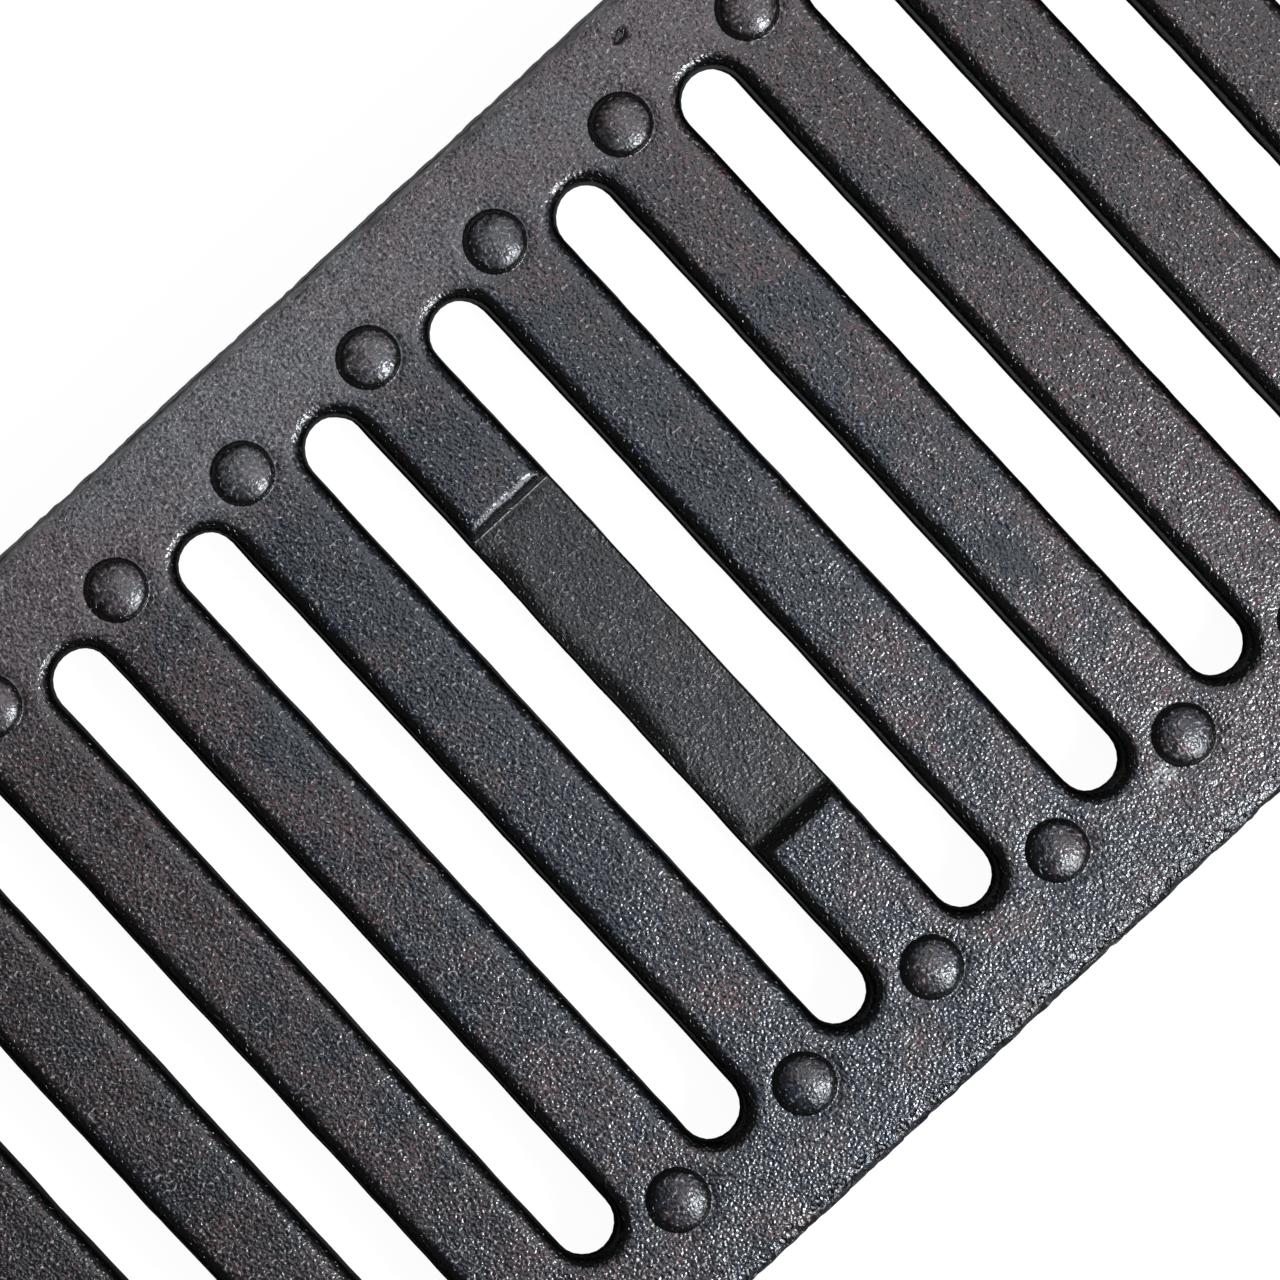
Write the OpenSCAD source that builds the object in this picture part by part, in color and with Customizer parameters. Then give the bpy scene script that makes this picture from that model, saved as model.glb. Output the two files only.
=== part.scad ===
// Slotted cast iron grate for a drainage channel.
// X runs along the channel, Y across it and Z up. The underside is at z = 0,
// and the origin is in the middle of the underside.

/* [Grate] */
// Length along the channel
grate_l = 609.6; // [150:0.1:1000]
// Width across the channel
grate_w = 136.5; // [90:0.1:250]
// Depth from the walking face down to the seat
grate_t = 19; // [14:0.5:40]
// Radius of the four corners, seen from above
corner_r = 3; // [2.5:0.5:8]
// Radius of the rounding along the outer edges of the walking face
outer_edge_r = 1.2; // [0.5:0.1:2]

/* [Slots] */
// Distance from one slot to the next
pitch = 22.45; // [18:0.05:40]
// Width of a slot where it is narrowest
slot_w = 8.4; // [5:0.1:12]
// Radius of the rounding around the mouth of every slot
slot_edge_r = 2; // [0.5:0.1:2.4]
// Width of the side rims, from the edge to the end of a slot
rim_w = 15.7; // [12:0.1:30]
// Least iron left between the last slot and the end of the grate
end_bar_min = 14; // [10:0.5:40]

/* [Casting draft] */
// Depth of the mould's parting line below the walking face
parting_depth = 8; // [4:0.5:11]
// How far a wall leans back between the parting line and the walking face
upper_draft = 0.2; // [0.1:0.05:0.4]
// How far a wall leans back between the parting line and the underside
lower_draft = 0.9; // [0.2:0.1:1.5]

/* [Studs] */
// Diameter of the round grip studs
stud_d = 8.4; // [4:0.1:9.6]
// Height of a stud above the walking face
stud_h = 1.6; // [0.8:0.1:2.2]
// Height of a stud's upright side, below its rounded cap
stud_side_h = 0.5; // [0.2:0.1:0.6]
// Distance from the edge of a side rim to the middle of a stud
stud_inset = 14; // [8:0.5:18]

/* [Panel] */
// Length of the sunken panel in the middle bar
panel_l = 58.8; // [20:0.1:75]
// Depth of the panel's floor below the walking face
panel_depth = 1.8; // [0.5:0.1:3]
// Radius of the rounding along the panel's two ends
panel_edge_r = 1.4; // [0.3:0.1:1.6]
// How far each end of the panel slopes
panel_slope = 0.4; // [0.1:0.1:0.8]

/* [Hidden] */
$fn = 64;

// Cutters and blends run this far past the faces that they meet
past = 1;
// Angle at which a rounding meets the walking face, so that the two cross cleanly
meet_angle = 8;

parting_z = grate_t - parting_depth;
outer_edge_z = grate_t - outer_edge_r * cos(meet_angle);
slot_edge_z = grate_t - slot_edge_r * cos(meet_angle);

slots_a_side = floor((grate_l / 2 - end_bar_min - slot_w / 2) / pitch + 0.5);
slot_l = grate_w - 2 * rim_w;
slot_straight = slot_l - slot_w;

stud_cap_h = stud_h - stud_side_h;
stud_sphere_r = (pow(stud_d / 2, 2) + pow(stud_cap_h, 2)) / (2 * stud_cap_h);
stud_y = grate_w / 2 - stud_inset;

panel_floor_z = grate_t - panel_depth;
panel_edge_rise = min(panel_edge_r, panel_depth * 0.8) * cos(meet_angle);
panel_round = panel_edge_rise / cos(meet_angle);

// Upright section of a rim from a middle line out to its edge, which is furthest out at the
// parting line
module rim_section(reach) {
    top_x = reach - upper_draft;
    difference() {
        polygon([
            [0, 0],
            [reach - lower_draft, 0],
            [reach, parting_z],
            [top_x, outer_edge_z],
            [top_x, grate_t],
            [0, grate_t]
        ]);
        difference() {
            translate([top_x - outer_edge_r, outer_edge_z])
                square([outer_edge_r + past, outer_edge_r + past]);
            translate([top_x - outer_edge_r, outer_edge_z])
                circle(outer_edge_r);
        }
    }
}

// Upright section of a slot from its middle line out to one wall, with the rounding at its mouth
module slot_section() {
    top_x = slot_w / 2 + upper_draft;
    difference() {
        polygon([
            [0, -past],
            [slot_w / 2 + lower_draft, -past],
            [slot_w / 2 + lower_draft, 0],
            [slot_w / 2, parting_z],
            [top_x, slot_edge_z],
            [top_x + slot_edge_r, slot_edge_z],
            [top_x + slot_edge_r, grate_t + past],
            [0, grate_t + past]
        ]);
        translate([top_x + slot_edge_r, slot_edge_z])
            circle(slot_edge_r);
    }
}

// A section and its mirror image, drawn out along Y
module along_y(length) {
    rotate([90, 0, 0])
        linear_extrude(length, center = true) {
            children();
            mirror([1, 0])
                children();
        }
}

// The plate before anything is cut: two drawn sections that cross, and four turned corners
module plate() {
    core_l = grate_l - 2 * corner_r;
    core_w = grate_w - 2 * corner_r;
    rotate([0, 0, 90])
        along_y(core_l)
            rim_section(grate_w / 2);
    for (end = [0, 180])
        rotate([0, 0, end])
            translate([core_l / 2, 0, 0]) {
                rotate([90, 0, 0])
                    linear_extrude(core_w, center = true)
                        rim_section(corner_r);
                translate([0, core_w / 2, 0])
                    rotate_extrude(angle = 90)
                        rim_section(corner_r);
                translate([0, -core_w / 2, 0])
                    rotate([0, 0, -90])
                        rotate_extrude(angle = 90)
                            rim_section(corner_r);
            }
}

// What one slot takes away: a drawn middle and two turned ends
module slot_cut() {
    along_y(slot_straight)
        slot_section();
    for (end = [0, 180])
        rotate([0, 0, end])
            translate([0, slot_straight / 2, 0])
                rotate_extrude(angle = 180)
                    slot_section();
}

// What the panel takes away, across the whole middle bar
module panel_cut() {
    top_y = panel_l / 2 - panel_round;
    floor_y = top_y - panel_slope;
    round_z = grate_t - panel_edge_rise;
    rotate([90, 0, 90])
        linear_extrude(pitch, center = true)
            for (side = [0, 1])
                mirror([side, 0])
                    difference() {
                        polygon([
                            [0, panel_floor_z],
                            [floor_y, panel_floor_z],
                            [top_y, round_z],
                            [top_y + panel_round, round_z],
                            [top_y + panel_round, grate_t + past],
                            [0, grate_t + past]
                        ]);
                        translate([top_y + panel_round, round_z])
                            circle(panel_round);
                    }
}

// A grip stud: a low upright side under the cap of a sphere, on a short root inside the bar
module stud() {
    rotate_extrude()
        intersection() {
            translate([0, grate_t + stud_h - stud_sphere_r])
                circle(stud_sphere_r);
            translate([0, grate_t - past])
                square([stud_d / 2, stud_h + 2 * past]);
        }
}

module grate() {
    color("#35373b")
        union() {
            difference() {
                plate();
                for (i = [-slots_a_side : slots_a_side - 1])
                    translate([(i + 0.5) * pitch, 0, 0])
                        slot_cut();
                panel_cut();
            }
            for (i = [-slots_a_side : slots_a_side], side = [-1, 1])
                translate([i * pitch, side * stud_y, 0])
                    stud();
        }
}

grate();
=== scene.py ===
import math
import random

import bpy
from mathutils import Matrix, Vector
from mathutils.geometry import delaunay_2d_cdt


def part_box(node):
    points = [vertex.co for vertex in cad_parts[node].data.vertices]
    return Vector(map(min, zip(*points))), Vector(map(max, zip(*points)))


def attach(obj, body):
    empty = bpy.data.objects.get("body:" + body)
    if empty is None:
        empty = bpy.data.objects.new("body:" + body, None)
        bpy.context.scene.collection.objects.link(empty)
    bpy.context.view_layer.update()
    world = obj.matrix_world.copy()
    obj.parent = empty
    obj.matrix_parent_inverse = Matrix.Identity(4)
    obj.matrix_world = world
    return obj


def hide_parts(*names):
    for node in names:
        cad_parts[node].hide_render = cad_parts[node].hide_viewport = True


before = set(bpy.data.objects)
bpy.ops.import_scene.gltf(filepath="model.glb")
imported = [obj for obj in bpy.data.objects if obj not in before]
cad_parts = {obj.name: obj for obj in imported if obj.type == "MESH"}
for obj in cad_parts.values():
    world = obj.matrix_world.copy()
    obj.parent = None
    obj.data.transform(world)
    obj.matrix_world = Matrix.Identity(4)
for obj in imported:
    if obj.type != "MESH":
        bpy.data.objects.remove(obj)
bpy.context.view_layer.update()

# Sizes of the casting, in millimetres, as the part has them
MM = 0.001
LOW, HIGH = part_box("grate")
LENGTH = (HIGH[0] - LOW[0]) / MM
WIDTH = (HIGH[1] - LOW[1]) / MM
STUD_RISE = 1.6
TOP = round((HIGH[2] - LOW[2]) / MM, 3) - STUD_RISE
PITCH = 22.45
SLOT_W = 8.4
RIM_W = 15.7
END_BAR_MIN = 14.0
SLOT_EDGE_R = 2.0
RIM_EDGE_R = 1.2
CORNER_R = 3.0
PARTING = TOP - 8.0
UPPER_DRAFT = 0.2
LOWER_DRAFT = 0.9
STUD_D = 8.4
STUD_INSET = 14.0
PANEL_L = 58.8
PANEL_DEPTH = 1.8

# What follows from them. END_X is how far the grate's end lies from the middle of its last bar
HALF_W = WIDTH / 2
HALF_PITCH = PITCH / 2
HALF_SLOT = SLOT_W / 2
SLOT_END = HALF_W - RIM_W
SLOT_STRAIGHT = SLOT_END - HALF_SLOT
STUD_Y = HALF_W - STUD_INSET
BARS_A_SIDE = int((LENGTH / 2 - END_BAR_MIN - HALF_SLOT) / PITCH + 0.5)
END_X = LENGTH / 2 - BARS_A_SIDE * PITCH

# How far a slot's walls have worn back, and how thick the parting line's fin is on either side
SLOT_WEAR = 0.1
FIN_HALF = 0.22

# The tight root around a stud, as (distance from the stud, height over the walking face), then
# the stud's outline from its root to near its tip, as shares of its radius and its rise
STUD_ROOT = ((0.42, 0.0), (0.22, -0.06), (0.06, -0.02))
STUD_SKIRT = STUD_ROOT[0][0]
STUD_PROFILE = ((0.985, 0.10), (0.95, 0.29), (0.90, 0.45), (0.84, 0.56),
                (0.74, 0.67), (0.58, 0.80), (0.38, 0.915), (0.18, 0.98))

# How far the panel's +Y end and its -Y end have sunk, at distances inward from its outline
PANEL_END = ((0.0, 0.0, 0.0), (0.2, 0.03, 0.04), (0.45, 0.09, 0.13), (0.8, 0.23, 0.33),
             (1.1, 0.41, 0.55), (1.35, 0.60, 0.78), (1.6, 0.85, 1.02), (1.8, 1.11, 1.20),
             (2.05, 1.49, 1.39), (2.3, 1.79, 1.53), (2.45, 1.89, 1.59), (2.7, 1.92, 1.66),
             (2.95, 1.88, 1.71), (3.3, 1.80, 1.755), (3.9, 1.80, 1.79), (4.5, 1.80, 1.80))

# How the panel's floor rolls off at its left edge: how far in the roll reaches, how far its line
# waves, how long a wave is and where it starts, and how hollow the roll is
ROLL_REACH = 2.5
ROLL_WAVE = 0.9
ROLL_LENGTH = 4.5
ROLL_START = 2.0
ROLL_HOLLOW = 11

# How much each row of a rim's edge crumbles, from the top face down, and how much each rim does
CRUMBLED_ROWS = (0.0, 0.35, 0.7, 1.0, 1.0, 0.9, 0.8, 0.7, 0.7, 0.6, 0.4, 0.0, 0.0, 0.0)
FAR_RIM_CRUMBLED = 0.6
NEAR_RIM_CRUMBLED = 1.0
END_CRUMBLED = 0.8

# How finely the casting is meshed, in millimetres, in pieces and as shares of a step
SLOT_STEP = 2.1
RIM_STEP = 0.85
FILL_STEP = 1.8
FILL_CLEAR = 0.75
UNDER_STEP = 4.0
UNDER_CLEAR = 0.4
ARC_PIECES = 6
STUD_PIECES = 26
CELL_REACH = 12
ROW_GAP = 0.87
ROW_START = 0.43
SCATTER = 0.16
MERGE_REACH = 0.01

# How the flat faces are cut into triangles: only inside their outline, and how near to each other
# two points are taken for one
ONLY_INSIDE = 1
SAME_POINT = 1e-6


def edge_section(radius):
    """Section of an edge from the top face down, as (distance into the metal, height)."""
    section = []
    for degrees in (0, 16, 32, 49, 68, 90):
        t = math.radians(degrees)
        section.append((UPPER_DRAFT + radius * (1 - math.sin(t)), TOP - radius * (1 - math.cos(t))))
    # The upper wall, the parting line's fin, the lower wall and the worn edge of the underside
    section += [
        (UPPER_DRAFT * 0.55, (TOP - radius + PARTING) / 2),
        (0.03, PARTING + FIN_HALF),
        (0.0, PARTING),
        (0.03, PARTING - FIN_HALF),
        (LOWER_DRAFT * 0.5, PARTING * 0.5),
        (LOWER_DRAFT * 0.95, 0.45),
        (LOWER_DRAFT + 0.14, 0.1),
        (LOWER_DRAFT + 0.45, 0.0),
    ]
    return section


SLOT_SECTION = [(inward + SLOT_WEAR, z) for inward, z in edge_section(SLOT_EDGE_R)]
RIM_SECTION = edge_section(RIM_EDGE_R)
FIN_ROW = RIM_SECTION.index((0.0, PARTING))


class Mesh:
    """A growing mesh in millimetres, with marks for the mould's fin and for crumbled iron."""

    def __init__(self):
        self.points, self.faces, self.fin, self.crumbled = [], [], [], []

    def add(self, x, y, z, fin=0.0, crumbled=0.0):
        self.points.append((x, y, z))
        self.fin.append(fin)
        self.crumbled.append(crumbled)
        return len(self.points) - 1

    def loft(self, path, section, crumbled=0.0):
        """Carries an edge section along a path that has the metal on its right.

        Returns the outline that its top row makes, and the outline that its bottom row makes.
        """
        rows = []
        for x, y, nx, ny in path:
            row = []
            for j, (d, z) in enumerate(section):
                fin = 1.0 if j == FIN_ROW else 0.0
                row.append(self.add(x + nx * d, y + ny * d, z, fin, crumbled * CRUMBLED_ROWS[j]))
            rows.append(row)
        for a, b in zip(rows, rows[1:]):
            for j in range(len(section) - 1):
                self.faces.append((a[j], b[j], b[j + 1], a[j + 1]))
        top = [self.points[r[0]][:2] for r in rows]
        bottom = [self.points[r[-1]][:2] for r in rows]
        return top, bottom

    def fill(self, loop, holes, inner, height, upward):
        """Fills a flat region between its outline and its round holes, through the inner points."""
        spots = [Vector(p) for p in loop]
        edges = []
        faces = [list(range(len(loop)))]
        for hole in holes:
            start = len(spots)
            spots += [Vector(p) for p in hole]
            edges += [(start + i, start + (i + 1) % len(hole)) for i in range(len(hole))]
        spots += [Vector(p) for p in inner]
        out, _, tris, *_ = delaunay_2d_cdt(spots, edges, faces, ONLY_INSIDE, SAME_POINT)
        base = len(self.points)
        for p in out:
            self.add(p.x, p.y, height)
        for tri in tris:
            a, b, c = (out[i] for i in tri)
            middle = (a + b + c) / 3
            if any(inside(middle, hole) for hole in holes):
                continue
            ccw = (b - a).cross(c - a) > 0
            order = tri if ccw == upward else tri[::-1]
            self.faces.append(tuple(base + i for i in order))

    def finish(self, name):
        mesh = bpy.data.meshes.new(name)
        mesh.from_pydata([Vector(p) * MM for p in self.points], [], self.faces)
        for mark, values in (("fin", self.fin), ("crumbled", self.crumbled)):
            mesh.attributes.new(mark, "FLOAT", "POINT").data.foreach_set("value", values)
        return bpy.data.objects.new(name, mesh)


def inside(p, hole):
    centre = sum((Vector(q) for q in hole), Vector((0, 0))) / len(hole)
    return (Vector((p.x, p.y)) - centre).length < (Vector(hole[0]) - centre).length


def spread(start, end, step):
    """Places from start to end, evenly set and about a step apart."""
    n = max(1, round(abs(end - start) / step))
    return [start + (end - start) * i / n for i in range(n + 1)]


def arc(cx, cy, r, start, end, inward):
    """Points of an arc, in degrees.

    The metal lies towards the arc's centre if inward is 1, and away from it if inward is -1.
    """
    path = []
    for i in range(ARC_PIECES + 1):
        t = math.radians(start + (end - start) * i / ARC_PIECES)
        c, s = math.cos(t), math.sin(t)
        path.append((cx + r * c, cy + r * s, -c * inward, -s * inward))
    return path


def slot_side(x, side, heights):
    """The half of a slot's outline that faces this bar, with side 1 for the slot on its right."""
    wall = x - side * HALF_SLOT
    upper = arc(x, SLOT_STRAIGHT, HALF_SLOT, 90, 90 + side * 90, -1)
    straight = [(wall, y, -side, 0.0) for y in heights[::-1]]
    lower = arc(x, -SLOT_STRAIGHT, HALF_SLOT, 90 + side * 90, 90 + side * 180, -1)
    path = upper + straight[1:-1] + lower
    return path if side == 1 else path[::-1]


def round_the_end():
    """The outline of the grate's end: the far rim, the end with its two corners and the near rim."""
    xs = spread(-HALF_PITCH, END_X - CORNER_R, RIM_STEP)[:-1]
    ys = spread(HALF_W - CORNER_R, -HALF_W + CORNER_R, RIM_STEP)[1:-1]
    path = [(x, HALF_W, 0.0, -1.0) for x in xs]
    path += arc(END_X - CORNER_R, HALF_W - CORNER_R, CORNER_R, 90, 0, 1)
    path += [(END_X, y, -1.0, 0.0) for y in ys]
    path += arc(END_X - CORNER_R, CORNER_R - HALF_W, CORNER_R, 0, -90, 1)
    path += [(x, -HALF_W, 0.0, 1.0) for x in xs[::-1]]
    return path


def stud(mesh, x, y):
    """A grip stud as turned rings, with a tight root. Returns the outline of its root."""
    root = STUD_D / 2
    rings = [(root + reach, TOP + rise) for reach, rise in STUD_ROOT]
    rings += [(root * share, TOP + STUD_RISE * rise) for share, rise in STUD_PROFILE]
    turn = [2 * math.pi * i / STUD_PIECES for i in range(STUD_PIECES)]
    rows = []
    for r, z in rings:
        rows.append([mesh.add(x + r * math.cos(t), y + r * math.sin(t), z) for t in turn])
    for a, b in zip(rows, rows[1:]):
        for i in range(STUD_PIECES):
            k = (i + 1) % STUD_PIECES
            mesh.faces.append((a[i], a[k], b[k], b[i]))
    tip = mesh.add(x, y, TOP + STUD_RISE)
    for i in range(STUD_PIECES):
        mesh.faces.append((rows[-1][i], rows[-1][(i + 1) % STUD_PIECES], tip))
    return [mesh.points[i][:2] for i in rows[0]]


def gap_to_slot(x, y, slot_x):
    """Distance from a slot's narrowest outline."""
    return math.hypot(x - slot_x, max(0.0, abs(y) - SLOT_STRAIGHT)) - HALF_SLOT


def inner_points(step, clear, right, upward, seed, rows):
    """Loosely spread points inside a cell, clear of every outline, and straight rows of them."""
    rng = random.Random(seed)
    section_row = 0 if upward else -1
    slot_reach, rim_reach = SLOT_SECTION[section_row][0], RIM_SECTION[section_row][0]
    places = []
    count = int(WIDTH / (step * ROW_GAP)) + 2
    for j in range(-count, count + 1):
        y = j * step * ROW_GAP + step * ROW_START
        if any(abs(abs(y) - r) < step * 0.5 for r in rows):
            continue
        shift = step / 2 if j % 2 else 0.0
        for i in range(-CELL_REACH, CELL_REACH + 1):
            places.append((i * step + shift + rng.uniform(-1, 1) * step * SCATTER,
                           y + rng.uniform(-1, 1) * step * SCATTER))
    for row in rows:
        for i in range(-CELL_REACH, CELL_REACH + 1):
            places += [(i * step, row), (i * step, -row)]
    spots = []
    for x, y in places:
        gaps = [HALF_W - abs(y) - rim_reach, x + HALF_PITCH]
        gaps.append(gap_to_slot(x, y, -HALF_PITCH) - slot_reach)
        if right:
            gaps += [gap_to_slot(x, y, HALF_PITCH) - slot_reach, HALF_PITCH - x]
        else:
            gaps.append(END_X - x - rim_reach)
        if upward:
            gaps.append(math.hypot(x, abs(y) - STUD_Y) - STUD_D / 2 - STUD_SKIRT)
        if min(gaps) > clear:
            spots.append((x, y))
    return spots


def cell(name, seed, right=True, panel=False):
    """One bar with half a slot at its side or sides, and its stretch of both rims.

    Without a right slot it is the end of the grate.
    """
    mesh = Mesh()
    heights = spread(-SLOT_STRAIGHT, SLOT_STRAIGHT, SLOT_STEP)
    rows = ()
    if panel:
        # Rows of points along the panel's ends, and one just outside them
        rows = tuple(PANEL_L / 2 - inward for inward, *_ in PANEL_END) + (PANEL_L / 2 + 0.5,)
        heights = [y for y in heights if all(abs(abs(y) - r) > SLOT_STEP * 0.5 for r in rows)]
        heights = sorted(heights + list(rows) + [-r for r in rows])
    left = mesh.loft(slot_side(-HALF_PITCH, -1, heights), SLOT_SECTION)
    if right:
        xs = spread(-HALF_PITCH, HALF_PITCH, RIM_STEP)
        far_path = [(x, HALF_W, 0.0, -1.0) for x in xs]
        near_path = [(x, -HALF_W, 0.0, 1.0) for x in xs[::-1]]
        far_rim = mesh.loft(far_path, RIM_SECTION, FAR_RIM_CRUMBLED)
        right_side = mesh.loft(slot_side(HALF_PITCH, 1, heights), SLOT_SECTION)
        near_rim = mesh.loft(near_path, RIM_SECTION, NEAR_RIM_CRUMBLED)
    else:
        far_rim = mesh.loft(round_the_end(), RIM_SECTION, END_CRUMBLED)
    for upward in (True, False):
        row = 0 if upward else -1
        step = FILL_STEP if upward else UNDER_STEP
        seam = spread(SLOT_END + SLOT_SECTION[row][0], HALF_W - RIM_SECTION[row][0], step)[1:-1]
        loop = left[row] + [(-HALF_PITCH, y) for y in seam] + far_rim[row]
        if right:
            loop += [(HALF_PITCH, y) for y in seam[::-1]] + right_side[row]
            loop += [(HALF_PITCH, -y) for y in seam] + near_rim[row]
        loop += [(-HALF_PITCH, -y) for y in seam[::-1]]
        holes = [stud(mesh, 0.0, STUD_Y), stud(mesh, 0.0, -STUD_Y)] if upward else []
        clear = FILL_CLEAR if upward else UNDER_STEP * UNDER_CLEAR
        inner = inner_points(step, clear, right, upward, seed, rows if upward else ())
        mesh.fill(loop, holes, inner, TOP if upward else 0.0, upward)
    if panel:
        sink_panel(mesh)
    return mesh.finish(name)


def panel_ceiling(x, y):
    """Height that the panel's cut leaves: its two ends, and its floor, rolled off at the left."""
    inward = PANEL_L / 2 - abs(y)
    if inward < 0:
        return math.inf
    end = 0 if y > 0 else 1
    for (near, *sunk), (far, *deeper) in zip(PANEL_END, PANEL_END[1:]):
        if inward <= far:
            return TOP - sunk[end] - (deeper[end] - sunk[end]) * (inward - near) / (far - near)
    roll = ROLL_REACH + ROLL_WAVE * math.sin(y / ROLL_LENGTH + ROLL_START)
    gap = min(roll, max(0.0, roll - (x + HALF_PITCH - HALF_SLOT)))
    return TOP - PANEL_DEPTH - gap ** 2 / ROLL_HOLLOW


def sink_panel(mesh):
    """Lowers what stands above the panel's cut in the middle bar."""
    for i, (x, y, z) in enumerate(mesh.points):
        if z > PARTING + 1:
            mesh.points[i] = (x, y, min(z, panel_ceiling(x, y)))


def link(tree, a, out, b, into):
    tree.links.new(a.outputs[out], b.inputs[into])


def node(tree, kind, **values):
    made = tree.nodes.new(kind)
    for key, value in values.items():
        setattr(made, key, value)
    return made


def feed(tree, socket, value):
    """Gives a socket its value, which is a number, a tuple or an output of another node."""
    if isinstance(value, (int, float, tuple)):
        socket.default_value = value
    else:
        tree.links.new(value, socket)


def number(tree, operation, *sides):
    made = node(tree, "ShaderNodeMath", operation=operation)
    for i, side in enumerate(sides):
        feed(tree, made.inputs[i], side)
    return made.outputs[0]


def vector(tree, operation, *sides):
    made = node(tree, "ShaderNodeVectorMath", operation=operation)
    for i, side in enumerate(sides):
        feed(tree, made.inputs[i], side)
    return made.outputs[0]


def scaled(tree, side, factor):
    """A vector times a number."""
    made = node(tree, "ShaderNodeVectorMath", operation="SCALE")
    feed(tree, made.inputs[0], side)
    feed(tree, made.inputs["Scale"], factor)
    return made.outputs[0]


def split(tree, side):
    """A vector's X, Y and Z."""
    made = node(tree, "ShaderNodeSeparateXYZ")
    tree.links.new(side, made.inputs[0])
    return tuple(made.outputs)


def noise(tree, place, scale, detail=0.0, rough=0.5):
    made = node(tree, "ShaderNodeTexNoise", noise_dimensions="3D")
    tree.links.new(place, made.inputs["Vector"])
    made.inputs["Scale"].default_value = scale
    made.inputs["Detail"].default_value = detail
    made.inputs["Roughness"].default_value = rough
    return made


def between(tree, value, low, high, start=0.0, end=1.0):
    """Carries a value from one range to another, smoothly and no further."""
    made = node(tree, "ShaderNodeMapRange", interpolation_type="SMOOTHSTEP")
    tree.links.new(value, made.inputs["Value"])
    made.inputs["From Min"].default_value = low
    made.inputs["From Max"].default_value = high
    made.inputs["To Min"].default_value = start
    made.inputs["To Max"].default_value = end
    return made.outputs["Result"]


def within(tree, value, low, high, start=0.0, end=1.0):
    """As between, for a place in millimetres."""
    return between(tree, value, low * MM, high * MM, start, end)


def product(tree, first, *others):
    for other in others:
        first = number(tree, "MULTIPLY", first, other)
    return first


def rest_of(tree, share):
    """What a share leaves of one."""
    return number(tree, "SUBTRACT", 1.0, share)


def blend(tree, share, first, second):
    """A colour between two others."""
    made = node(tree, "ShaderNodeMix", data_type="RGBA")
    tree.links.new(share, made.inputs["Factor"])
    for side, colour in (("A", first), ("B", second)):
        socket = next(i for i in made.inputs if i.name == side and i.type == "RGBA")
        feed(tree, socket, colour + (1,) if isinstance(colour, tuple) else colour)
    return next(o for o in made.outputs if o.type == "RGBA")


def cell_of(tree, given, name):
    made = node(tree, "GeometryNodeObjectInfo")
    tree.links.new(given.outputs[name], made.inputs["Object"])
    return made


def bars_in_line(tree, given):
    """The plain bars and the end bar of either side, and the panel bar in the middle."""
    joined = node(tree, "GeometryNodeJoinGeometry")
    plain = number(tree, "SUBTRACT", given.outputs["Bars a side"], 1.0)
    for side in (-1, 1):
        offset = node(tree, "ShaderNodeCombineXYZ")
        tree.links.new(number(tree, "MULTIPLY", given.outputs["Pitch"], float(side)), offset.inputs["X"])
        line = node(tree, "GeometryNodeMeshLine", mode="OFFSET")
        tree.links.new(plain, line.inputs["Count"])
        tree.links.new(offset.outputs[0], line.inputs["Start Location"])
        tree.links.new(offset.outputs[0], line.inputs["Offset"])
        row = node(tree, "GeometryNodeInstanceOnPoints")
        link(tree, line, "Mesh", row, "Points")
        link(tree, cell_of(tree, given, "Bar"), "Geometry", row, "Instance")
        link(tree, row, "Instances", joined, 0)
        end = node(tree, "GeometryNodeTransform")
        link(tree, cell_of(tree, given, "End bar"), "Geometry", end, "Geometry")
        far = scaled(tree, offset.outputs[0], given.outputs["Bars a side"])
        tree.links.new(far, end.inputs["Translation"])
        if side == -1:
            end.inputs["Rotation"].default_value = (0.0, 0.0, math.pi)
        link(tree, end, "Geometry", joined, 0)
    link(tree, cell_of(tree, given, "Panel bar"), "Geometry", joined, 0)
    return joined


def shift_of_skin(tree, given, place):
    """How far a place on the skin is moved: slow wander, short waves and the moulds' misfit."""
    across, height = split(tree, place)[1:]
    shifts = []
    for amount, scale in (("Wander", 45.0), ("Wave", 240.0)):
        field = noise(tree, place, scale, 1.0).outputs["Color"]
        centred = vector(tree, "SUBTRACT", field, (0.5, 0.5, 0.5))
        shifts.append(scaled(tree, centred, given.outputs[amount]))
    # The seat stays flat, and the walking face moves up and down less than the walls move in and out
    shift = scaled(tree, vector(tree, "ADD", *shifts), within(tree, height, 0.0, 6.0))
    shift = vector(tree, "MULTIPLY", shift, (1.0, 1.0, 0.55))
    # The mould's upper half stood a little off its lower half
    upper = within(tree, height, PARTING - 0.25, PARTING + 0.25, -0.4, 0.6)
    shift = vector(tree, "ADD", shift, scaled(tree, given.outputs["Mismatch"], upper))
    # The slots stood a little off the middle between the two long sides
    rim = within(tree, number(tree, "ABSOLUTE", across), 60.0, 66.0)
    return vector(tree, "ADD", shift, scaled(tree, given.outputs["Rim offset"], rim))


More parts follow.
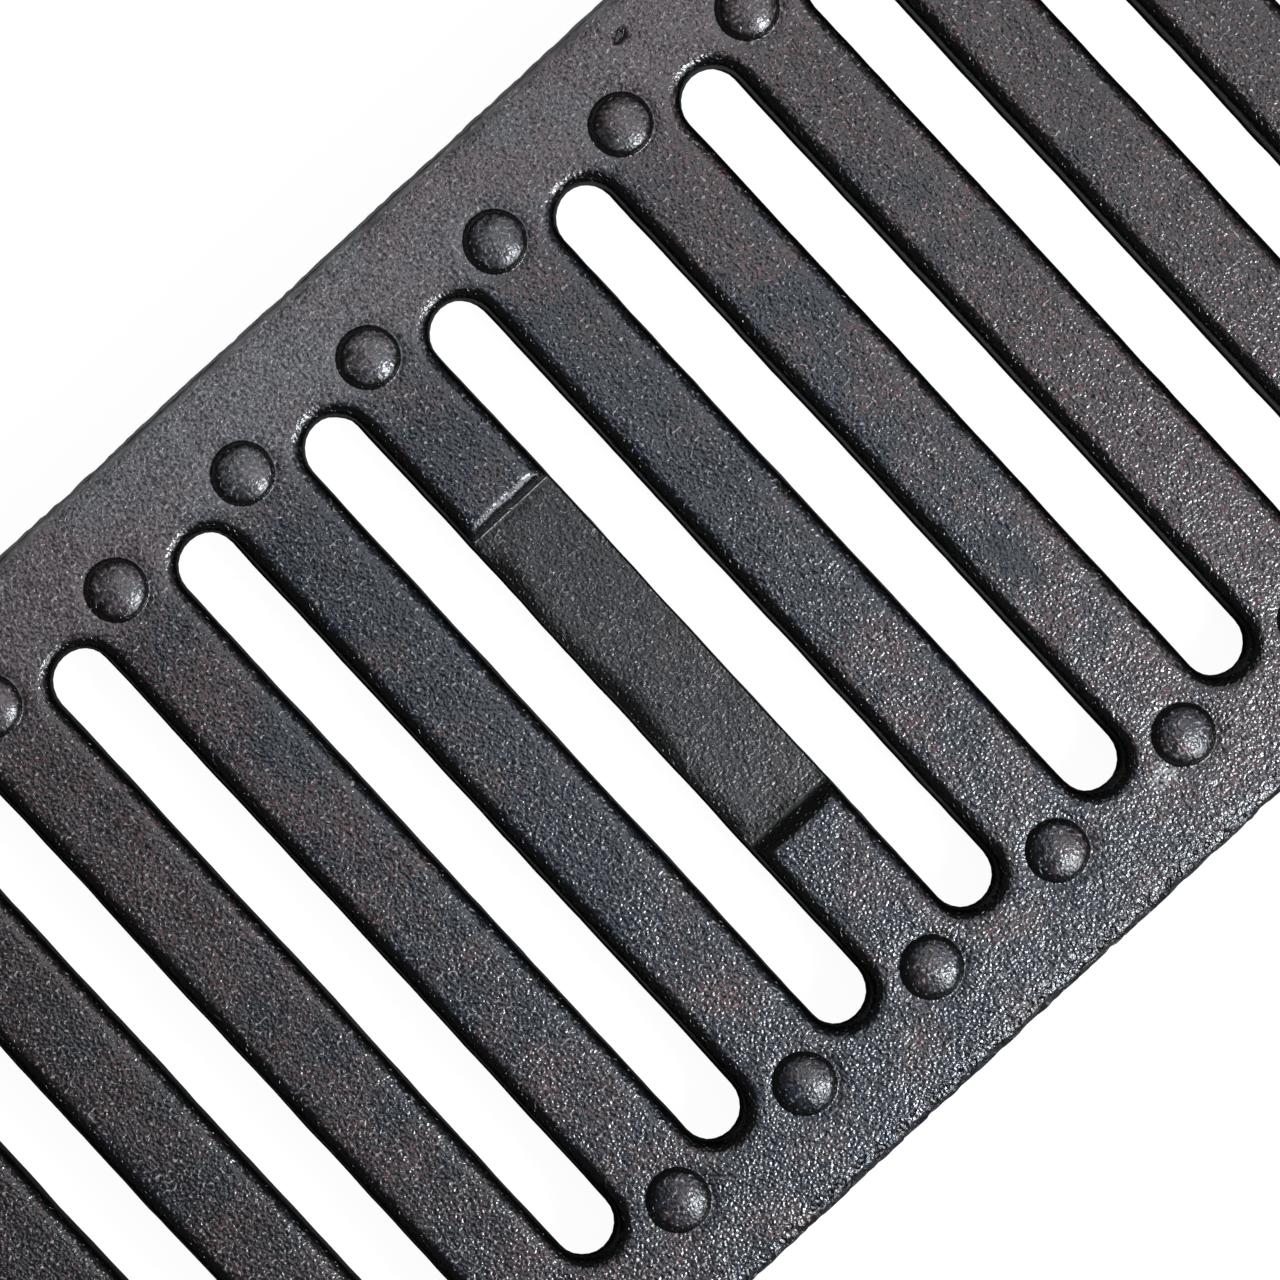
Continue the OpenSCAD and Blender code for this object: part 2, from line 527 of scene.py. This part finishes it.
def fin_and_bites(tree, given, place):
    """The ragged fin along the parting line, less what has crumbled away."""
    marks = []
    for name in ("fin", "crumbled"):
        made = node(tree, "GeometryNodeInputNamedAttribute", data_type="FLOAT")
        made.inputs["Name"].default_value = name
        marks.append(made.outputs[0])
    ragged = number(tree, "SUBTRACT", noise(tree, place, 160.0, 3.0, 0.7).outputs[0], 0.5)
    fin = product(tree, number(tree, "MAXIMUM", ragged, 0.0), marks[0], given.outputs["Fin"])
    bites = between(tree, noise(tree, place, 420.0, 3.0, 0.65).outputs[0], 0.42, 0.72)
    bites = product(tree, bites, marks[1], given.outputs["Crumble"])
    outward = node(tree, "GeometryNodeInputNormal").outputs[0]
    return scaled(tree, outward, number(tree, "SUBTRACT", fin, bites))


def casting_tree():
    """Sets the cells out along the channel, makes them one skin and makes that uneven."""
    tree = bpy.data.node_groups.new("grate casting", "GeometryNodeTree")
    face = tree.interface
    face.new_socket("Geometry", in_out="INPUT", socket_type="NodeSocketGeometry")
    for name, kind in (("Bar", "Object"), ("Panel bar", "Object"), ("End bar", "Object"),
                       ("Pitch", "Float"), ("Bars a side", "Int"), ("Wander", "Float"),
                       ("Wave", "Float"), ("Fin", "Float"), ("Crumble", "Float"),
                       ("Mismatch", "Vector"), ("Rim offset", "Vector"), ("Iron", "Material")):
        face.new_socket(name, in_out="INPUT", socket_type="NodeSocket" + kind)
    face.new_socket("Geometry", in_out="OUTPUT", socket_type="NodeSocketGeometry")
    given = node(tree, "NodeGroupInput")
    real = node(tree, "GeometryNodeRealizeInstances")
    link(tree, bars_in_line(tree, given), "Geometry", real, "Geometry")
    merged = node(tree, "GeometryNodeMergeByDistance")
    merged.inputs["Distance"].default_value = MERGE_REACH * MM
    link(tree, real, "Geometry", merged, "Geometry")
    place = node(tree, "GeometryNodeInputPosition").outputs[0]
    shift = shift_of_skin(tree, given, place)
    moved = node(tree, "GeometryNodeSetPosition")
    link(tree, merged, "Geometry", moved, "Geometry")
    tree.links.new(vector(tree, "ADD", shift, fin_and_bites(tree, given, place)), moved.inputs["Offset"])
    painted = node(tree, "GeometryNodeSetMaterial")
    link(tree, moved, "Geometry", painted, "Geometry")
    tree.links.new(given.outputs["Iron"], painted.inputs["Material"])
    link(tree, painted, "Geometry", node(tree, "NodeGroupOutput"), "Geometry")
    return tree


def cast(iron):
    """The whole casting as one plain mesh."""
    holder = bpy.data.objects.new("grate_casting", bpy.data.meshes.new("grate_casting"))
    bpy.context.collection.objects.link(holder)
    tree = casting_tree()
    modifier = holder.modifiers.new("casting", "NODES")
    modifier.node_group = tree
    values = {
        "Bar": cell("bar_cell", seed=3),
        "Panel bar": cell("panel_cell", seed=5, panel=True),
        "End bar": cell("end_cell", seed=7, right=False),
        "Pitch": PITCH * MM,
        "Bars a side": BARS_A_SIDE,
        "Wander": 0.4 * MM,
        "Wave": 0.25 * MM,
        "Fin": 0.9 * MM,
        "Crumble": 0.55 * MM,
        "Mismatch": (0.33 * MM, -0.43 * MM, 0.0),
        "Rim offset": (0.0, -0.45 * MM, 0.0),
        "Iron": iron,
    }
    for item in tree.interface.items_tree:
        if item.in_out == "INPUT" and item.name in values:
            modifier[item.identifier] = values[item.name]
    graph = bpy.context.evaluated_depsgraph_get()
    mesh = bpy.data.meshes.new_from_object(holder.evaluated_get(graph))
    holder.modifiers.remove(modifier)
    holder.data = mesh
    for mark in ("fin", "crumbled"):
        mesh.attributes.remove(mesh.attributes[mark])
    mesh.polygons.foreach_set("use_smooth", [True] * len(mesh.polygons))
    mesh.set_sharp_from_angle(angle=math.radians(50))
    return holder


# The coat's colours, as linear red, green and blue. A pair is the coat's hollows and its grains.
BLACK = (0.002, 0.002, 0.002)
COOL = ((0.004, 0.006, 0.010), (0.034, 0.043, 0.057))
WARM = ((0.010, 0.008, 0.009), (0.076, 0.060, 0.064))
COOL_RUBBED_AND_SHEEN = ((0.043, 0.043, 0.048), (0.180, 0.176, 0.190))
WARM_RUBBED_AND_SHEEN = ((0.043, 0.035, 0.037), (0.180, 0.146, 0.156))
BARE = ((0.004, 0.003, 0.003), (0.028, 0.022, 0.022))
RED_GRAIN = (0.10, 0.050, 0.054)
PALE_GRAIN = (0.30, 0.26, 0.26)
PAINTED_SHADE = (0.004, 0.004, 0.004)
SMUDGED = (0.014, 0.019, 0.027)
SCUFFED = (0.30, 0.30, 0.31)
EDGE_HIGHLIGHT = (0.50, 0.50, 0.51)

# Marks on the walking face, as the middle and the half sizes of an oval, in millimetres
CHIP = ((53.0, 62.6), (1.3, 1.0))
SMUDGE = ((44.2, -22.4), (2.6, 5.5))
SCUFF = ((39.5, -56.5), (2.4, 1.8))


class Coat:
    """The places, noises and marks that the coat's relief, colour and gloss have in common."""

    def __init__(self, tree):
        self.tree = tree
        self.place = node(tree, "ShaderNodeTexCoord").outputs["Object"]
        self.along, self.across, self.height = split(tree, self.place)
        self.from_middle = number(tree, "ABSOLUTE", self.along)
        self.from_centreline = number(tree, "ABSOLUTE", self.across)
        self.frayed = self.noise(700.0, 2.0, 0.75)
        self.ragged = self.noise(750.0)
        self.grit = self.noise(1900.0)
        normal = node(tree, "ShaderNodeNewGeometry").outputs["Normal"]
        self.facing_right, self.facing_far, facing_up = split(tree, normal)
        fraying = number(tree, "MULTIPLY_ADD", self.frayed, 0.5, -0.25)
        self.level = number(tree, "ADD", number(tree, "ABSOLUTE", facing_up), fraying)

        # The studs, the panel, the panel's floor, and the near rim's crumbled edge with its pits
        self.raised = within(tree, self.height, TOP + 0.1, TOP + 0.7)
        self.panel = product(tree, within(tree, self.from_middle, 11.5, 10.8),
                             within(tree, self.from_centreline, 31.0, 30.0),
                             within(tree, self.height, TOP - 4.0, TOP - 3.0))
        self.sunk = product(tree, self.panel, within(tree, self.height, TOP - 1.0, TOP - 1.5))
        self.brink = within(tree, self.across, 2.6 - HALF_W, 0.6 - HALF_W)
        self.pits = product(tree, between(tree, self.ragged, 0.54, 0.64), self.brink)

        self.chip = self.mark(*CHIP)
        self.smudge = self.mark(*SMUDGE)
        self.scuff = self.mark(*SCUFF)

    def noise(self, scale, detail=0.0, rough=0.5):
        return noise(self.tree, self.place, scale, detail, rough).outputs[0]

    def mark(self, middle, size):
        """A ragged oval patch of the walking face."""
        tree = self.tree
        oval = vector(tree, "SUBTRACT", self.place, (middle[0] * MM, middle[1] * MM, TOP * MM))
        oval = vector(tree, "DIVIDE", oval, (size[0] * MM, size[1] * MM, 2 * MM))
        far = node(tree, "ShaderNodeVectorMath", operation="LENGTH")
        tree.links.new(oval, far.inputs[0])
        far = number(tree, "MULTIPLY_ADD", self.ragged, 1.2, far.outputs["Value"])
        return between(tree, far, 1.7, 1.1)

    def relief(self):
        """Sand grain with sparse sharp grains, shallower on the studs and about the panel."""
        tree = self.tree
        lip = product(tree, within(tree, self.from_centreline, 26.4, 26.9),
                      within(tree, self.from_centreline, 30.2, 29.2),
                      within(tree, self.from_middle, 7.8, 7.0))
        calm = number(tree, "MULTIPLY_ADD", lip, -0.8, product(tree, self.raised, -0.35))
        calm = number(tree, "ADD", calm, product(tree, self.sunk, -0.2))
        calm = product(tree, number(tree, "ADD", calm, 1.0),
                       within(tree, self.across, 62.0, -HALF_W, 0.8, 1.4),
                       number(tree, "MULTIPLY_ADD", self.smudge, -0.5, 1.0))
        relief = product(tree, self.noise(2300.0, 0.6), 0.13 * MM, calm)
        sharp = between(tree, self.grit, 0.60, 0.74)
        peel = self.noise(200.0)
        for field, rise in ((self.ragged, 0.04), (self.chip, -0.5), (sharp, 0.08), (peel, 0.14),
                            (self.pits, -0.5)):
            relief = number(tree, "MULTIPLY_ADD", field, rise * MM, relief)
        return relief

    def brownness(self):
        """How brown the coat is: bluish about the middle, brown beyond it, and mottled."""
        tree = self.tree
        beyond = number(tree, "SUBTRACT", within(tree, self.from_middle, 20.0, 65.0),
                        within(tree, self.from_middle, 90.0, 160.0, 0.0, 0.5))
        brown = number(tree, "MULTIPLY_ADD", beyond, 0.5, self.noise(14.0))
        brown = number(tree, "MULTIPLY_ADD", self.noise(140.0), 1.2, brown)
        brown = number(tree, "MULTIPLY_ADD", self.ragged, 0.5, brown)
        return between(tree, brown, 1.30, 1.90)

    def panel_shade(self):
        """Painted shade: black along the foot of the panel's two ends and along its left edge."""
        tree = self.tree
        panel_shade = number(tree, "MAXIMUM", within(tree, self.across, 26.6, 27.0),
                       within(tree, self.across, -24.0, -26.6))
        panel_shade = number(tree, "MAXIMUM", panel_shade, within(tree, self.along, -3.0, -6.0))
        panel_shade = number(tree, "ADD", panel_shade, number(tree, "MULTIPLY_ADD", self.frayed, 0.9, -0.45))
        return product(tree, between(tree, panel_shade, 0.2, 0.8), self.panel,
                       within(tree, self.height, TOP - 0.5, TOP - 0.8))

    def coloured(self):
        """Where the coat has its colour. It is black on what isn't level, as painted shade on the
        roundings and walls, in pits, and in the painted shade at the panel's ends and left edge.
        """
        tree = self.tree
        # Painted shade: the black runs further up the roundings that face two of the grate's four sides,
        # -X and +Y, and half as far up on the studs
        shade_by_facing = product(tree, number(tree, "MINIMUM", self.facing_right, 0.0), 0.8)
        far_side = number(tree, "MAXIMUM", self.facing_far, 0.0)
        shade_by_facing = number(tree, "MULTIPLY_ADD", far_side, -0.6, shade_by_facing)
        shade_by_facing = product(tree, shade_by_facing, number(tree, "MULTIPLY_ADD", self.raised, -0.5, 1.0))
        flat = between(tree, number(tree, "ADD", self.level, shade_by_facing), 0.68, 1.0)
        # The far rim's outer edge keeps its colour out of the painted shade, and the near rim's crumbled
        # brink keeps half of it
        flat = number(tree, "MAXIMUM", flat, within(tree, self.across, HALF_W - 3.0, HALF_W - 1.8))
        flat = number(tree, "MAXIMUM", flat, product(tree, self.brink, 0.5))
        return product(tree, flat, rest_of(tree, self.pits), rest_of(tree, self.panel_shade()))

    def colour(self):
        tree = self.tree
        speck = between(tree, self.noise(1900.0, 1.0, 0.8), 0.36, 0.64)
        brown = self.brownness()
        red = between(tree, self.noise(1250.0), 0.62, 0.72)
        warm = blend(tree, red, blend(tree, speck, *WARM), RED_GRAIN)
        coat = blend(tree, brown, blend(tree, speck, *COOL), warm)
        # Painted shade: the coat darkens away from the middle along the grate, more towards -X than
        # towards +X
        shade_away_from_middle = number(tree, "ADD", within(tree, self.along, -20.0, -100.0, 0.0, 0.5),
                      within(tree, self.along, 40.0, 110.0, 0.0, 0.3))
        coat = blend(tree, shade_away_from_middle, coat, PAINTED_SHADE)

        # The far rim is lighter, partly from rubbed wear and partly as a painted sheen, most of all a
        # little left of its middle
        beside = number(tree, "ABSOLUTE", number(tree, "ADD", self.along, 12.0 * MM))
        rub_and_sheen = product(tree, within(tree, beside, 45.0, 0.0, 0.7, 1.0),
                       within(tree, self.across, 44.0, 58.0))
        rubbed_and_sheen = blend(tree, brown, blend(tree, speck, *COOL_RUBBED_AND_SHEEN), blend(tree, speck, *WARM_RUBBED_AND_SHEEN))
        coat = blend(tree, rub_and_sheen, coat, rubbed_and_sheen)
        coat = blend(tree, between(tree, self.grit, 0.68, 0.78), coat, PALE_GRAIN)
        coat = blend(tree, product(tree, self.sunk, 0.6), coat, blend(tree, speck, *BARE))
        coat = blend(tree, self.smudge, coat, SMUDGED)
        coat = blend(tree, product(tree, self.scuff, speck), coat, SCUFFED)

        # A painted highlight along the far rim's outer edge
        highlight_band = number(tree, "MAXIMUM", within(tree, self.height, TOP - 1.4, TOP - 0.8),
                          between(tree, self.level, 0.15, 0.6))
        outer = within(tree, self.across, HALF_W - 2.2, HALF_W - 0.7)
        coat = blend(tree, product(tree, highlight_band, outer, 0.85), coat, EDGE_HIGHLIGHT)
        coat = blend(tree, self.chip, coat, BLACK)
        # Black where the coat isn't coloured: painted shade on slopes and about the panel, and the pits
        return blend(tree, self.coloured(), BLACK, coat)

    def roughness(self):
        """Glossy where the coat is level, and duller on walls, on the studs and in the panel."""
        tree = self.tree
        dull = number(tree, "MULTIPLY_ADD", self.sunk, 0.12, 0.17)
        dull = number(tree, "MULTIPLY_ADD", self.raised, 0.08, dull)
        return number(tree, "MAXIMUM", between(tree, self.level, 0.3, 0.75, 0.25, 0.0), dull)


def iron_coat():
    """Black dipped coat over sand-cast iron."""
    made = bpy.data.materials.new("black_iron_coat")
    made.use_nodes = True
    tree = made.node_tree
    shader = tree.nodes["Principled BSDF"]
    shader.inputs["IOR"].default_value = 1.6
    coat = Coat(tree)
    bump = node(tree, "ShaderNodeBump")
    bump.inputs["Strength"].default_value = 1.0
    bump.inputs["Distance"].default_value = 1.0
    tree.links.new(coat.relief(), bump.inputs["Height"])
    link(tree, bump, 0, shader, "Normal")
    tree.links.new(coat.colour(), shader.inputs["Base Color"])
    tree.links.new(coat.roughness(), shader.inputs["Roughness"])
    return made


# The floor: half its side, its height and how far its dimming reaches past the grate, in metres,
# then how white it glows and the colour that takes the grate's shadow
FLOOR_HALF = 6.0
FLOOR_Z = -0.05 * MM
DIM_REACH = 0.3
FLOOR_GLOW = 0.96
FLOOR_COLOUR = (0.12, 0.12, 0.12, 1)


def pale_paint():
    """White to the eye, and to reflections too, save where the floor lies in the grate's shadow."""
    pale = bpy.data.materials.new("pale_floor")
    pale.use_nodes = True
    tree = pale.node_tree
    tree.nodes.clear()
    seen = node(tree, "ShaderNodeLightPath")
    along, across = split(tree, node(tree, "ShaderNodeTexCoord").outputs["Object"])[:2]
    past_end = number(tree, "SUBTRACT", number(tree, "ABSOLUTE", along), LENGTH / 2 * MM)
    past_side = number(tree, "SUBTRACT", number(tree, "ABSOLUTE", across), HALF_W * MM)
    lit = between(tree, number(tree, "MAXIMUM", past_end, past_side), 0.0, DIM_REACH)
    lit = product(tree, lit, seen.outputs["Is Glossy Ray"])
    white = number(tree, "MAXIMUM", seen.outputs["Is Camera Ray"], lit)
    white = number(tree, "MAXIMUM", white, seen.outputs["Is Transmission Ray"])
    glow = node(tree, "ShaderNodeEmission")
    tree.links.new(product(tree, white, FLOOR_GLOW), glow.inputs["Strength"])
    matt = node(tree, "ShaderNodeBsdfDiffuse")
    matt.inputs["Color"].default_value = FLOOR_COLOUR
    both = node(tree, "ShaderNodeAddShader")
    link(tree, glow, 0, both, 0)
    link(tree, matt, 0, both, 1)
    # From below, the floor lets the seat of the grate be seen
    shown = node(tree, "ShaderNodeMixShader")
    link(tree, node(tree, "ShaderNodeNewGeometry"), "Backfacing", shown, 0)
    link(tree, both, 0, shown, 1)
    link(tree, node(tree, "ShaderNodeBsdfTransparent"), 0, shown, 2)
    link(tree, shown, 0, node(tree, "ShaderNodeOutputMaterial"), "Surface")
    # The glow is met by chance, so that the lamps get every aimed ray
    pale.cycles.emission_sampling = "NONE"
    return pale


def lay_floor():
    mesh = bpy.data.meshes.new("floor")
    corners = [(x * FLOOR_HALF, y * FLOOR_HALF, FLOOR_Z) for x, y in ((-1, -1), (1, -1), (1, 1), (-1, 1))]
    mesh.from_pydata(corners, [], [(0, 1, 2, 3)])
    mesh.materials.append(pale_paint())
    floor = bpy.data.objects.new("floor", mesh)
    bpy.context.collection.objects.link(floor)


# The photograph's own directions, laid in the plane of the walking face
PHOTO_TURN = math.radians(42.7)
ACROSS = Vector((math.cos(PHOTO_TURN), -math.sin(PHOTO_TURN), 0))
UPWARD = Vector((math.sin(PHOTO_TURN), math.cos(PHOTO_TURN), 0))

# Each lamp's name, its place to the photograph's right and up and above the seat in metres, its
# size in metres, its power in watts and its tint
LAMPS = (
    ("overhead_lamp", (0.29, 0.27, 1.3), (1.4, 0.9), 5.7, (0.95, 0.97, 1.0)),
    ("side_lamp", (0.2, -0.11, 0.36), (0.1, 0.1), 1.4, (0.9, 0.95, 1.0)),
    ("low_lamp", (0.4, -0.32, 0.42), (0.3, 0.3), 1.8, (0.9, 0.95, 1.0)),
)
SKY = 0.06


def hang_lamp(name, place, size, power, tint):
    """A soft lamp aimed at the middle of the grate."""
    data = bpy.data.lights.new(name, "AREA")
    data.shape = "RECTANGLE"
    data.size, data.size_y = size
    data.energy = power
    data.color = tint
    lamp = bpy.data.objects.new(name, data)
    right, up, height = place
    lamp.location = ACROSS * right + UPWARD * up + Vector((0, 0, height))
    lamp.rotation_mode = "QUATERNION"
    lamp.rotation_quaternion = (-lamp.location).to_track_quat("-Z", "Y")
    lamp.visible_camera = False
    bpy.context.collection.objects.link(lamp)


def light_studio():
    """Three lamps, and a faint sky that looks white."""
    for values in LAMPS:
        hang_lamp(*values)
    world = bpy.data.worlds.new("studio")
    bpy.context.scene.world = world
    world.use_nodes = True
    tree = world.node_tree
    seen = node(tree, "ShaderNodeLightPath").outputs["Is Camera Ray"]
    back = tree.nodes["Background"]
    back.inputs["Color"].default_value = (1, 1, 1, 1)
    tree.links.new(number(tree, "MULTIPLY_ADD", seen, 1 - SKY, SKY), back.inputs["Strength"])
    # The sky is met by chance, as the floor's glow is
    world.cycles.sampling_method = "NONE"
    bpy.context.scene.cycles.use_light_tree = False


# The camera looks straight down at its target from this far above it, in metres
CAMERA_RISE = 1.8
CAMERA_TARGET = Vector((1.2 * MM, 2.77 * MM, TOP * MM))
CAMERA_LENS = 387.1


def place_camera():
    data = bpy.data.cameras.new("camera")
    data.sensor_width = 36.0
    data.lens = CAMERA_LENS
    data.clip_start = 0.05
    camera = bpy.data.objects.new("camera", data)
    back = Vector((0, 0, 1))
    camera.location = CAMERA_TARGET + back * CAMERA_RISE
    camera.rotation_mode = "QUATERNION"
    camera.rotation_quaternion = Matrix((ACROSS, UPWARD, back)).transposed().to_quaternion()
    bpy.context.collection.objects.link(camera)
    bpy.context.scene.camera = camera


grate = cast(iron_coat())
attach(grate, "root")
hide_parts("grate")

lay_floor()
light_studio()
place_camera()
bpy.context.scene.view_settings.view_transform = "Standard"
